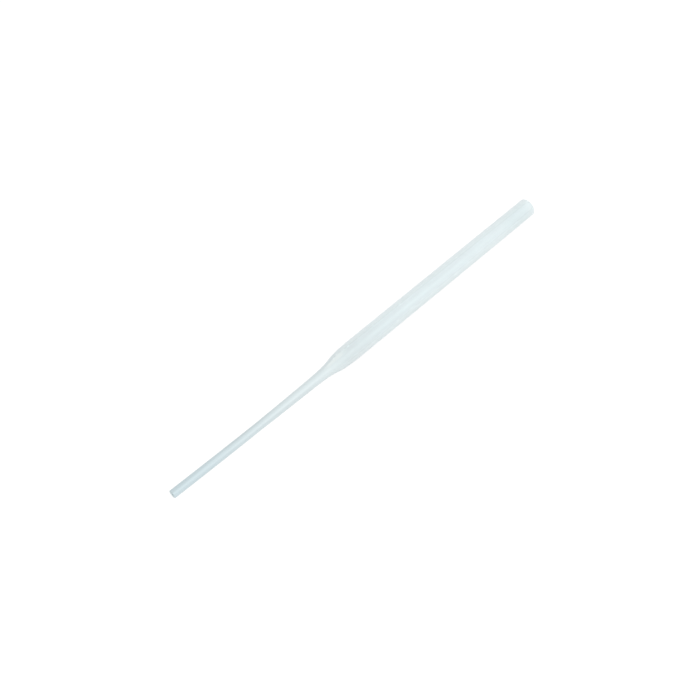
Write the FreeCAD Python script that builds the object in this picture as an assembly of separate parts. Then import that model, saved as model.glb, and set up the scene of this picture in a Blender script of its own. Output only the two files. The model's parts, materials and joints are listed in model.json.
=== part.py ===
"""Plastic dropper pipette: one drawn tube, open at both ends, lying on its barrel.

The tube lies along X with its mouth towards +X and its tip towards -X. The origin
is on the table under the middle of its length, and the barrel touches z = 0.
The stem is bowed a little to the side by the drawing. All sizes are in millimetres.
"""

import math
import os

import FreeCAD
import Part

# Lengths along the tube, from the mouth to the tip
barrel_length = 79.2        # straight part that holds the liquid and takes the teat
shoulder_length = 19.2      # S-shaped neck from the barrel down to the stem
taper_length = 20.1         # upper stem, which still narrows a little
land_length = 31.5          # lower stem, drawn to one diameter up to the tip

# Outside diameters
barrel_diameter = 6.1
stem_root_diameter = 3.1    # where the shoulder runs into the stem
tip_diameter = 2.56

# Wall thicknesses
barrel_wall = 0.6
stem_wall = 0.55

# How far to the side of the barrel's axis the tip ends up
stem_bow = 0.7

# Rounding of the mouth's two rims, where the teat is pushed on
mouth_round = 0.15

# How soft the shoulder's S is: the length of its straight leads as a share of it
shoulder_softness = 0.66

barrel_radius = barrel_diameter / 2
root_radius = stem_root_diameter / 2
tip_radius = tip_diameter / 2

stem_length = taper_length + land_length
overall_length = barrel_length + shoulder_length + stem_length
mouth_x = overall_length / 2
neck_x = mouth_x - barrel_length
root_x = neck_x - shoulder_length

# Radius of the arc that starts along the barrel's axis and ends stem_bow beside it
bow_radius = (stem_length ** 2 + stem_bow ** 2) / (2 * stem_bow)


def axis_point(x):
    """Point on the barrel's axis."""
    return FreeCAD.Vector(x, 0, 0)


def stem_point(distance):
    """Point on the stem's bowed centre line, so far from the shoulder."""
    angle = distance / bow_radius
    along = bow_radius * math.sin(angle)
    aside = bow_radius * (1 - math.cos(angle))
    return FreeCAD.Vector(root_x - along, aside, 0)


def stem_ring(distance, radius):
    """Circle square to the stem's centre line, so far from the shoulder."""
    angle = distance / bow_radius
    heading = FreeCAD.Vector(-math.cos(angle), math.sin(angle), 0)
    return Part.Wire([Part.Circle(stem_point(distance), heading, radius).toShape()])


def stem_run(start, start_radius, end, end_radius):
    """Round solid that follows the stem's bow from one distance to another."""
    halfway = stem_point((start + end) / 2)
    path = Part.Arc(stem_point(start), halfway, stem_point(end))
    rings = [stem_ring(start, start_radius), stem_ring(end, end_radius)]
    return Part.Wire([path.toShape()]).makePipeShell(rings, True, False)


def barrel_and_shoulder(barrel_r, root_r, tip_r):
    """Solid of revolution: the straight barrel with the S-shaped shoulder."""
    root = FreeCAD.Vector(root_x, 0, root_r)
    neck = FreeCAD.Vector(neck_x, 0, barrel_r)
    mouth = FreeCAD.Vector(mouth_x, 0, barrel_r)
    lead = shoulder_length * shoulder_softness
    taper_slope = (root_r - tip_r) / taper_length
    root_lead = FreeCAD.Vector(lead, 0, lead * taper_slope)
    neck_lead = FreeCAD.Vector(-lead, 0, 0)
    shoulder = Part.BezierCurve()
    shoulder.setPoles([root, root + root_lead, neck + neck_lead, neck])
    outline = Part.Wire([
        Part.LineSegment(axis_point(root_x), root).toShape(),
        shoulder.toShape(),
        Part.LineSegment(neck, mouth).toShape(),
        Part.LineSegment(mouth, axis_point(mouth_x)).toShape(),
        Part.LineSegment(axis_point(mouth_x), axis_point(root_x)).toShape(),
    ])
    along_x = FreeCAD.Vector(1, 0, 0)
    return Part.Face(outline).revolve(axis_point(0), along_x, 360)


def drawn_form(barrel_r, root_r, tip_r):
    """Barrel, shoulder and stem as one solid, for the outside or for the bore."""
    barrel = barrel_and_shoulder(barrel_r, root_r, tip_r)
    taper = stem_run(0, root_r, taper_length, tip_r)
    land = stem_run(taper_length, tip_r, stem_length, tip_r)
    return barrel.fuse([taper, land]).removeSplitter()


def rims_at(solid, centre):
    """The rings of a cut end, found by their common centre."""
    near = 0.01
    return [edge for edge in solid.Edges
            if edge.isClosed() and edge.CenterOfMass.distanceToPoint(centre) < near]


def pipette():
    """The tube, bored from mouth to tip, with its barrel lying on z = 0."""
    outside = drawn_form(barrel_radius, root_radius, tip_radius)
    bore = drawn_form(barrel_radius - barrel_wall,
                      root_radius - stem_wall,
                      tip_radius - stem_wall)
    tube = outside.cut(bore)
    tube = tube.makeFillet(mouth_round, rims_at(tube, axis_point(mouth_x)))
    tube.translate(FreeCAD.Vector(0, 0, barrel_radius))
    return tube


os.makedirs("parts", exist_ok=True)
tube = pipette()
tube.exportStep("parts/pipette.step")
print("pipette:", round(tube.Volume, 1), "mm3, valid:", tube.isValid())
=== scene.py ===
import json
import math

import bpy
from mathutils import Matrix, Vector


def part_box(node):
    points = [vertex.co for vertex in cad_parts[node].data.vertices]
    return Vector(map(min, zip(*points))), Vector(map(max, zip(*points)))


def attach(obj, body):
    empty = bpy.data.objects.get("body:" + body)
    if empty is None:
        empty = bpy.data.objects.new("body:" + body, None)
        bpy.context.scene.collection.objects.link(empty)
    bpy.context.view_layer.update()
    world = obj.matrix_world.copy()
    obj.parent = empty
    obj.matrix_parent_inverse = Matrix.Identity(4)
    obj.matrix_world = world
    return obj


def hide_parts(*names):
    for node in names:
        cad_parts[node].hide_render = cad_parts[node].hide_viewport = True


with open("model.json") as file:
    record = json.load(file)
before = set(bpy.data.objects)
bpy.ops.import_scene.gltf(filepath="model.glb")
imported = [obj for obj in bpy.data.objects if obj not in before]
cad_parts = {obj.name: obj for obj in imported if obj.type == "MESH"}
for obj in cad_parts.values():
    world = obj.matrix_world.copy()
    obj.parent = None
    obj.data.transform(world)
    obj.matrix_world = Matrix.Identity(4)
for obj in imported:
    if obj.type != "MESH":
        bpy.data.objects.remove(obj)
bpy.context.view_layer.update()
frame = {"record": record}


def mountNamed(name):
    return next(m for m in frame["record"]["mounts"] if m["name"] == name)


# sizes the frame already knows, in metres
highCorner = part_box("pipette")[1]
teatSeat = mountNamed("teat_seat")
barrelBore = mountNamed("barrel_bore")
barrelRadius = teatSeat["dims"]["r_mm"] / 1000
boreRadius = barrelBore["dims"]["r_mm"] / 1000
mouthX = highCorner[0]
axisZ = teatSeat["pos_m"][2]

# what a user would change on the tube itself, in metres
tube = {
    "barrelLength": 0.0792,
    "shoulderLength": 0.0192,
    "taperLength": 0.0201,
    "landLength": 0.0315,
    "rootRadius": 0.00155,          # outside, where the shoulder runs into the stem
    "tipRadius": 0.00128,
    "stemWall": 0.00055,
    "stemBow": 0.0007,              # how far the tip stands to the side of the barrel's axis
    "mouthRound": 0.00015,
    "tipRound": 0.00008,
    "shoulderSoftness": 0.66,
    "ridgeDepth": 0.000012,         # ripple of the bore's wall along the draw
    "ridgeStemShare": 0.3,          # how much of that depth the stem keeps
    "ridgeFade": 0.02,              # how far above the stem the full depth is reached
    "shoulderRidgeDepth": 0.00003,  # added where the shoulder was necked down
    "shoulderRidgeReach": 0.6,      # in shoulder lengths, either way from its middle
    "ridgeSway": 2.1,               # how far the ridges wander, in radians of their wave
    "ridgeSwayPace": 60,            # and how fast, in radians a metre
    # each wave: ridges around the tube, height, share of the sway, start angle
    "ridgeWaves": ((7, 1.0, 1.0, 0.0), (12, 0.7, -1.3, 1.0), (19, 0.5, 0.0, 2.2)),
    "segments": 128,                # around the tube
    "barrelRings": 60,              # along each length
    "shoulderRings": 70,
    "taperRings": 40,
    "landRings": 60,
    "roundSteps": 5,                # across each rounded rim
}

neckX = mouthX - tube["barrelLength"]
rootX = neckX - tube["shoulderLength"]
landX = rootX - tube["taperLength"]
stemLength = tube["taperLength"] + tube["landLength"]
tipX = rootX - stemLength
bowRadius = (stemLength ** 2 + tube["stemBow"] ** 2) / (2 * tube["stemBow"])


def spread(start, end, count):
    # evenly spaced values, without the last one
    return [start + (end - start) * i / count for i in range(count)]


def bezierPoint(p0, p1, p2, p3, t):
    s = 1 - t
    return tuple(s ** 3 * a + 3 * s * s * t * b + 3 * s * t * t * c + t ** 3 * d
                 for a, b, c, d in zip(p0, p1, p2, p3))


def sectionLine(barrelR, rootR, tipR):
    # (place along X, radius) from the mouth to the tip, without the rims
    lead = tube["shoulderLength"] * tube["shoulderSoftness"]
    taperSlope = (rootR - tipR) / tube["taperLength"]
    neck, neckLead = (neckX, barrelR), (neckX - lead, barrelR)
    root, rootLead = (rootX, rootR), (rootX + lead, rootR + lead * taperSlope)
    line = [(x, barrelR) for x in spread(mouthX, neckX, tube["barrelRings"])]
    line += [bezierPoint(neck, neckLead, rootLead, root, t)
             for t in spread(0, 1, tube["shoulderRings"])]
    line += [(x, rootR + (x - rootX) * taperSlope)
             for x in spread(rootX, landX, tube["taperRings"])]
    line += [(x, tipR) for x in spread(landX, tipX, tube["landRings"])]
    # room for the rounded rims at both ends
    return [p for p in line if tipX + tube["tipRound"] < p[0] < mouthX - tube["mouthRound"]]


def rimRound(centreX, centreR, size, startAngle):
    # a quarter turn across a rounded rim
    steps = tube["roundSteps"]
    turn = [math.radians(startAngle) + math.pi / 2 * i / steps for i in range(steps + 1)]
    return [(centreX + size * math.cos(a), centreR + size * math.sin(a)) for a in turn]


def wallRings():
    # one closed loop of rings: outside from mouth to tip, then the bore back to the mouth
    rootR, tipR = tube["rootRadius"], tube["tipRadius"]
    rootBore, tipBore = rootR - tube["stemWall"], tipR - tube["stemWall"]
    mouthRound, tipRound = tube["mouthRound"], tube["tipRound"]
    nearMouth, nearTip = mouthX - mouthRound, tipX + tipRound
    outside = rimRound(nearMouth, barrelRadius - mouthRound, mouthRound, 0)
    outside += sectionLine(barrelRadius, rootR, tipR)
    outside += rimRound(nearTip, tipR - tipRound, tipRound, 90)
    bore = rimRound(nearTip, tipBore + tipRound, tipRound, 180)
    bore += sectionLine(boreRadius, rootBore, tipBore)[::-1]
    bore += rimRound(nearMouth, boreRadius + mouthRound, mouthRound, 270)
    return [(x, r, False) for x, r in outside] + [(x, r, True) for x, r in bore]


def bowedCentre(x):
    # centre line of the bowed stem and the way across it, at a place along X
    angle = max(rootX - x, 0) / bowRadius
    along = bowRadius * math.sin(angle)
    aside = bowRadius * (1 - math.cos(angle))
    centre = Vector((max(x, rootX) - along, aside, axisZ))
    across = Vector((math.sin(angle), math.cos(angle), 0))
    return centre, across


def ridgeHeight(angle, x):
    # fine ridges in the bore that run with the draw, deeper through the shoulder
    middleX = (neckX + rootX) / 2
    reach = tube["shoulderRidgeReach"] * tube["shoulderLength"]
    inShoulder = math.exp(-((x - middleX) / reach) ** 2)
    inBarrel = min(1, max(tube["ridgeStemShare"], (x - rootX) / tube["ridgeFade"]))
    depth = tube["ridgeDepth"] * inBarrel + tube["shoulderRidgeDepth"] * inShoulder
    sway = tube["ridgeSway"] * math.sin(x * tube["ridgeSwayPace"])
    ripple = sum(height * math.sin(count * angle + share * sway + start)
                 for count, height, share, start in tube["ridgeWaves"])
    return depth * ripple / sum(wave[1] for wave in tube["ridgeWaves"])


print("stage: sizes read")


def buildTube():
    rings = wallRings()
    count = tube["segments"]
    verts, faces = [], []
    for x, radius, isBore in rings:
        centre, across = bowedCentre(x)
        for k in range(count):
            angle = 2 * math.pi * k / count
            r = radius + (ridgeHeight(angle, x) if isBore else 0)
            verts.append(centre + across * (r * math.cos(angle))
                         + Vector((0, 0, r * math.sin(angle))))
    for i in range(len(rings)):
        j = (i + 1) % len(rings)
        for k in range(count):
            n = (k + 1) % count
            faces.append((i * count + k, i * count + n, j * count + n, j * count + k))
    mesh = bpy.data.meshes.new("drawnTube")
    mesh.from_pydata([tuple(v) for v in verts], [], faces)
    mesh.validate()
    mesh.polygons.foreach_set("use_smooth", [True] * len(mesh.polygons))
    mesh.polygons.foreach_set("material_index", [int(isBore) for _, _, isBore in rings
                                                 for _ in range(count)])
    mesh.update()
    piece = bpy.data.objects.new("drawnTube", mesh)
    bpy.context.collection.objects.link(piece)
    return piece


pipetteTube = buildTube()
print("stage: tube built,", len(pipetteTube.data.polygons), "faces")

# the plastic: a milky skin over a clearer bore, very pale blue, deeper where it was drawn thin
plastic = {
    "barrelColour": (0.845, 0.949, 0.970),
    "rootColour": (0.808, 0.902, 0.919),  # where the shoulder runs into the stem
    "tipColour": (0.703, 0.833, 0.876),
    "boreColour": (1.0, 1.0, 1.0),  # inside the barrel; the stem's bore has the root's colour
    "paleLead": 0.006,              # how far before the neck the skin starts to turn pale
    "paleRun": 0.020,               # and over what length it does
    "barrelClearness": 0.17,        # how much of the light goes through the skin
    "stemClearness": 0.02,
    "boreClearness": 0.4,           # the same for the bore's face, in the barrel
    "skinRoughness": 0.34,
    "boreRoughness": 1.0,
    "ior": 1.5,
    "lampTint": 0.91,               # how much of a lamp's light passes each face of the wall
    "lineShade": 0.975,             # how much of the colour the skin's fine lines keep
    "lineCount": 4.0,               # how close they lie around the tube
    "lineDrift": 30.0,              # how fast they change along it
    "lineDetail": 2.0,
    "lineEdges": (0.35, 0.65),      # where the noise turns from line to no line
}

# painted shade and painted highlights as soft streaks in the skin's colour: darker rims along the
# stem and a darker mouth end are painted shade, lighter lines in the shoulder are painted
# highlights; angles go round from the far side over the top, and
# "along" counts shoulder lengths from the neck towards the tip: begin, full, fade, end
paintedShadeAndHighlights = [
    # painted shade: the stem's upper far rim, on into the shoulder
    {"angle": 64, "reach": 40, "strength": 1.0, "along": (2.9, 2.4, 0.52, 0.26),
     "colour": (0.945, 0.945, 0.945), "blend": "MULTIPLY"},
    # painted shade: the far side of the stem, strongest towards the tip
    {"angle": 44, "reach": 45, "strength": 1.0, "along": (4.3, 4.0, 2.3, 1.2),
     "colour": (0.90, 0.90, 0.90), "blend": "MULTIPLY"},
    # painted shade: the stem's near lower rim
    {"angle": 158, "reach": 32, "strength": 1.0, "along": (3.8, 3.2, 1.1, 0.8),
     "colour": (0.95, 0.95, 0.95), "blend": "MULTIPLY"},
    # painted shade: the near upper side of the barrel at the mouth end
    {"angle": 125, "reach": 80, "strength": 1.0, "along": (-3.3, -3.7, -3.9, -4.05),
     "colour": (0.94, 0.96, 0.96), "blend": "MULTIPLY"},
    # painted highlight: a faint, lighter and bluer streak on the near side of the shoulder
    {"angle": 140, "reach": 70, "strength": 0.35, "along": (0.85, 0.65, 0.5, 0.3),
     "colour": (0.90, 0.995, 1.0), "blend": "MIX"},
    # painted highlight: a light streak along the top of the shoulder
    {"angle": 89, "reach": 20, "strength": 1.0, "along": (0.75, 0.55, 0.38, 0.2),
     "colour": (0.92, 1.0, 1.0), "blend": "MIX"},
]


def maths(nodes, links, operation, a, b):
    node = nodes.new("ShaderNodeMath")
    node.operation = operation
    for socket, value in zip(node.inputs, (a, b)):
        if isinstance(value, (int, float)):
            socket.default_value = value
        else:
            links.new(value, socket)
    return node.outputs[0]


def smoothly(nodes, links, value, low, high, fromLow, fromHigh):
    # eases from one number to another while the value goes from low to high
    change = nodes.new("ShaderNodeMapRange")
    change.interpolation_type = "SMOOTHSTEP"
    change.inputs["From Min"].default_value = low
    change.inputs["From Max"].default_value = high
    change.inputs["To Min"].default_value = fromLow
    change.inputs["To Max"].default_value = fromHigh
    links.new(value, change.inputs["Value"])
    return change.outputs["Result"]


def mixColours(nodes, links, factor, first, second, blend="MIX"):
    mix = nodes.new("ShaderNodeMix")
    mix.data_type, mix.blend_type = "RGBA", blend
    links.new(factor, mix.inputs[0])
    for socket, colour in ((mix.inputs[6], first), (mix.inputs[7], second)):
        if isinstance(colour, tuple):
            socket.default_value = (*colour, 1)
        else:
            links.new(colour, socket)
    return mix.outputs[2]


def startPlastic(name, roughness):
    # a new material with what the skin and the bore's face share
    material = bpy.data.materials.new(name)
    material.use_nodes = True
    shader = material.node_tree.nodes["Principled BSDF"]
    shader.inputs["IOR"].default_value = plastic["ior"]
    shader.inputs["Roughness"].default_value = roughness
    return material, shader


def placeOnTube(nodes, links):
    # where a point of the tube is, and how far along X
    place = nodes.new("ShaderNodeTexCoord").outputs["Object"]
    apart = nodes.new("ShaderNodeSeparateXYZ")
    links.new(place, apart.inputs[0])
    return place, apart.outputs["X"]


def lampsPass(material):
    # light from the lamps goes on through the thin wall, so the bore is lit
    nodes, links = material.node_tree.nodes, material.node_tree.links
    lampSide = nodes.new("ShaderNodeBsdfTransparent")
    lampSide.inputs["Color"].default_value = (plastic["lampTint"],) * 3 + (1,)
    path = nodes.new("ShaderNodeLightPath")
    wall = nodes.new("ShaderNodeMixShader")
    links.new(path.outputs["Is Shadow Ray"], wall.inputs[0])
    links.new(nodes["Principled BSDF"].outputs["BSDF"], wall.inputs[1])
    links.new(lampSide.outputs["BSDF"], wall.inputs[2])
    links.new(wall.outputs["Shader"], nodes["Material Output"].inputs["Surface"])


def outwardFrom(nodes, links, place):
    # which way the wall faces round the axis, with no length along it
    flat = nodes.new("ShaderNodeVectorMath")
    flat.operation = "MULTIPLY_ADD"
    flat.inputs[1].default_value = (0, 1, 1)
    flat.inputs[2].default_value = (0, 0, -axisZ)
    links.new(place, flat.inputs[0])
    outward = nodes.new("ShaderNodeVectorMath")
    outward.operation = "NORMALIZE"
    links.new(flat.outputs[0], outward.inputs[0])
    return outward.outputs[0]


def paintedStreakShare(nodes, links, outward, alongX, look):
    # painted shade or a painted highlight as a soft line at one angle around the tube, from one
    # place along it to another
    angle, reach = math.radians(look["angle"]), math.radians(look["reach"])
    facing = nodes.new("ShaderNodeVectorMath")
    facing.operation = "DOT_PRODUCT"
    facing.inputs[1].default_value = (0, math.cos(angle), math.sin(angle))
    links.new(outward, facing.inputs[0])
    across = smoothly(nodes, links, facing.outputs["Value"], math.cos(reach), 1,
                      0, look["strength"])
    begin, full, fade, end = (neckX - tube["shoulderLength"] * share for share in look["along"])
    rise = smoothly(nodes, links, alongX, begin, full, 0, 1)
    fall = smoothly(nodes, links, alongX, fade, end, 1, 0)
    lengthwise = maths(nodes, links, "MULTIPLY", rise, fall)
    return maths(nodes, links, "MULTIPLY", across, lengthwise)


def fineLines(nodes, links, outward, alongX):
    # faint noise drawn out along the tube, which closes up as the tube narrows
    spun = nodes.new("ShaderNodeVectorMath")
    spun.operation = "SCALE"
    spun.inputs["Scale"].default_value = plastic["lineCount"]
    links.new(outward, spun.inputs[0])
    step = nodes.new("ShaderNodeCombineXYZ")
    drift = maths(nodes, links, "MULTIPLY", alongX, plastic["lineDrift"])
    links.new(drift, step.inputs["X"])
    where = nodes.new("ShaderNodeVectorMath")
    links.new(spun.outputs[0], where.inputs[0])
    links.new(step.outputs[0], where.inputs[1])
    lines = nodes.new("ShaderNodeTexNoise")
    lines.inputs["Scale"].default_value = 1
    lines.inputs["Detail"].default_value = plastic["lineDetail"]
    links.new(where.outputs[0], lines.inputs["Vector"])
    return smoothly(nodes, links, lines.outputs["Fac"], *plastic["lineEdges"], 0, 1)


def makeSkin():
    material, shader = startPlastic("milkySkin", plastic["skinRoughness"])
    nodes, links = material.node_tree.nodes, material.node_tree.links
    place, alongX = placeOnTube(nodes, links)
    outward = outwardFrom(nodes, links, place)
    # clearer where the wall was not drawn
    clearness = smoothly(nodes, links, alongX, rootX, neckX,
                         plastic["stemClearness"], plastic["barrelClearness"])
    links.new(clearness, shader.inputs["Transmission Weight"])
    # deeper in colour towards the tip, pale from the neck on
    upStem = smoothly(nodes, links, alongX, tipX, rootX, 0, 1)
    colour = mixColours(nodes, links, upStem, plastic["tipColour"], plastic["rootColour"])
    paleX = neckX - plastic["paleLead"]
    pale = smoothly(nodes, links, alongX, paleX, paleX + plastic["paleRun"], 0, 1)
    colour = mixColours(nodes, links, pale, colour, plastic["barrelColour"])
    # lay the painted shade and painted highlights over the plastic's colour
    for look in paintedShadeAndHighlights:
        share = paintedStreakShare(nodes, links, outward, alongX, look)
        colour = mixColours(nodes, links, share, colour, look["colour"], look["blend"])
    lines = fineLines(nodes, links, outward, alongX)
    colour = mixColours(nodes, links, lines, colour, (plastic["lineShade"],) * 3, "MULTIPLY")
    links.new(colour, shader.inputs["Base Color"])
    lampsPass(material)
    return material


def makeBoreFace():
    material, shader = startPlastic("softBore", plastic["boreRoughness"])
    nodes, links = material.node_tree.nodes, material.node_tree.links
    alongX = placeOnTube(nodes, links)[1]
    # in the stem as milky as the skin, clearer in the barrel
    clearness = smoothly(nodes, links, alongX, rootX, neckX,
                         plastic["stemClearness"], plastic["boreClearness"])
    links.new(clearness, shader.inputs["Transmission Weight"])
    upShoulder = smoothly(nodes, links, alongX, rootX, neckX, 0, 1)
    colour = mixColours(nodes, links, upShoulder, plastic["rootColour"], plastic["boreColour"])
    links.new(colour, shader.inputs["Base Color"])
    lampsPass(material)
    return material


pipetteTube.data.materials.append(makeSkin())
pipetteTube.data.materials.append(makeBoreFace())
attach(pipetteTube, "root")
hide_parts("pipette")
print("stage: plastic made")

# the studio, in metres and degrees
studio = {
    "floorSize": 6.0,
    "floorShade": 0.70,
    "floorCameraShare": 0.66,   # how much of the floor, as the camera sees it, is plain white
    "floorGlassShare": 0.62,    # the same for what glass and gloss see
    "floorWhite": 1.3,
    "roomLight": 0.80,          # the room as a light, where 1 is the white that the camera sees
    "keyShare": 0.21,           # the lamp's part of the plain level of light
    "keyLean": 38.7,            # from overhead, towards the near side
    "keyAlong": 0.3,            # and towards the mouth
    "keyDistance": 0.6,
    "keySize": (0.5, 0.25),
}


def makeFloor():
    half = studio["floorSize"] / 2
    mesh = bpy.data.meshes.new("floorSheet")
    mesh.from_pydata([(-half, -half, 0), (half, -half, 0), (half, half, 0), (-half, half, 0)],
                     [], [(0, 1, 2, 3)])
    floor = bpy.data.objects.new("floorSheet", mesh)
    bpy.context.collection.objects.link(floor)
    material = bpy.data.materials.new("whiteFloor")
    material.use_nodes = True
    nodes, links = material.node_tree.nodes, material.node_tree.links
    nodes.clear()
    out = nodes.new("ShaderNodeOutputMaterial")
    both = nodes.new("ShaderNodeMixShader")
    matte = nodes.new("ShaderNodeBsdfDiffuse")
    matte.inputs["Color"].default_value = (studio["floorShade"],) * 3 + (1,)
    glow = nodes.new("ShaderNodeEmission")
    glow.inputs["Strength"].default_value = studio["floorWhite"]
    path = nodes.new("ShaderNodeLightPath")
    glassy = maths(nodes, links, "MAXIMUM", path.outputs["Is Glossy Ray"],
                   path.outputs["Is Transmission Ray"])
    forCamera = maths(nodes, links, "MULTIPLY", path.outputs["Is Camera Ray"],
                      studio["floorCameraShare"])
    forGlass = maths(nodes, links, "MULTIPLY", glassy, studio["floorGlassShare"])
    share = maths(nodes, links, "MAXIMUM", forCamera, forGlass)
    links.new(share, both.inputs["Fac"])
    links.new(matte.outputs[0], both.inputs[1])
    links.new(glow.outputs[0], both.inputs[2])
    links.new(both.outputs[0], out.inputs["Surface"])
    material.cycles.emission_sampling = "NONE"
    mesh.materials.append(material)


makeFloor()


def makeWorld():
    # plain white for the camera, a little dimmer as a light
    world = bpy.data.worlds.new("whiteRoom")
    bpy.context.scene.world = world
    world.use_nodes = True
    nodes, links = world.node_tree.nodes, world.node_tree.links
    back = nodes["Background"]
    back.inputs["Color"].default_value = (1, 1, 1, 1)
    path = nodes.new("ShaderNodeLightPath")
    lift = maths(nodes, links, "MULTIPLY", path.outputs["Is Camera Ray"], 1 - studio["roomLight"])
    strength = maths(nodes, links, "ADD", lift, studio["roomLight"])
    links.new(strength, back.inputs["Strength"])


makeWorld()


def softboxPower(distance, share):
    # watts that light a surface facing the box at a share of the plain level
    # radiance L = power / (pi * area); irradiance / pi = L * area / (pi * distance ** 2)
    return share * math.pi ** 2 * distance ** 2


def makeKeyBox():
    lean = math.radians(studio["keyLean"])
    direction = Vector((studio["keyAlong"], -math.sin(lean), math.cos(lean))).normalized()
    place = direction * studio["keyDistance"]
    data = bpy.data.lights.new("keyBox", "AREA")
    data.shape = "RECTANGLE"
    data.size, data.size_y = studio["keySize"]
    data.energy = softboxPower(studio["keyDistance"], studio["keyShare"])
    data.cycles.use_multiple_importance_sampling = False
    lamp = bpy.data.objects.new("keyBox", data)
    bpy.context.collection.objects.link(lamp)
    lamp.location = place
    lamp.rotation_euler = (-place).to_track_quat("-Z", "Y").to_euler()


makeKeyBox()

# the camera: above and to one side, with the tip nearer to it
camera = {
    "azimuth": -45.27,     # degrees
    "elevation": 54.0,
    "distance": 0.341,     # metres
    "aimX": -0.006507,
    "aimY": 0.000538,
    "clipStart": 0.01,
    "lens": 59.14,         # millimetres
    "sensorWidth": 36,
}


def makeCamera():
    azimuth, elevation = math.radians(camera["azimuth"]), math.radians(camera["elevation"])
    back = Vector((math.sin(azimuth) * math.cos(elevation),
                   -math.cos(azimuth) * math.cos(elevation), math.sin(elevation)))
    data = bpy.data.cameras.new("studioCamera")
    data.lens = camera["lens"]
    data.sensor_width = camera["sensorWidth"]
    data.clip_start = camera["clipStart"]
    holder = bpy.data.objects.new("studioCamera", data)
    bpy.context.collection.objects.link(holder)
    aim = Vector((camera["aimX"], camera["aimY"], axisZ))
    holder.location = aim + back * camera["distance"]
    holder.rotation_euler = (-back).to_track_quat("-Z", "Y").to_euler()
    bpy.context.scene.camera = holder


makeCamera()
bpy.context.scene.view_settings.view_transform = "Standard"
print("stage: floor, light and camera placed")
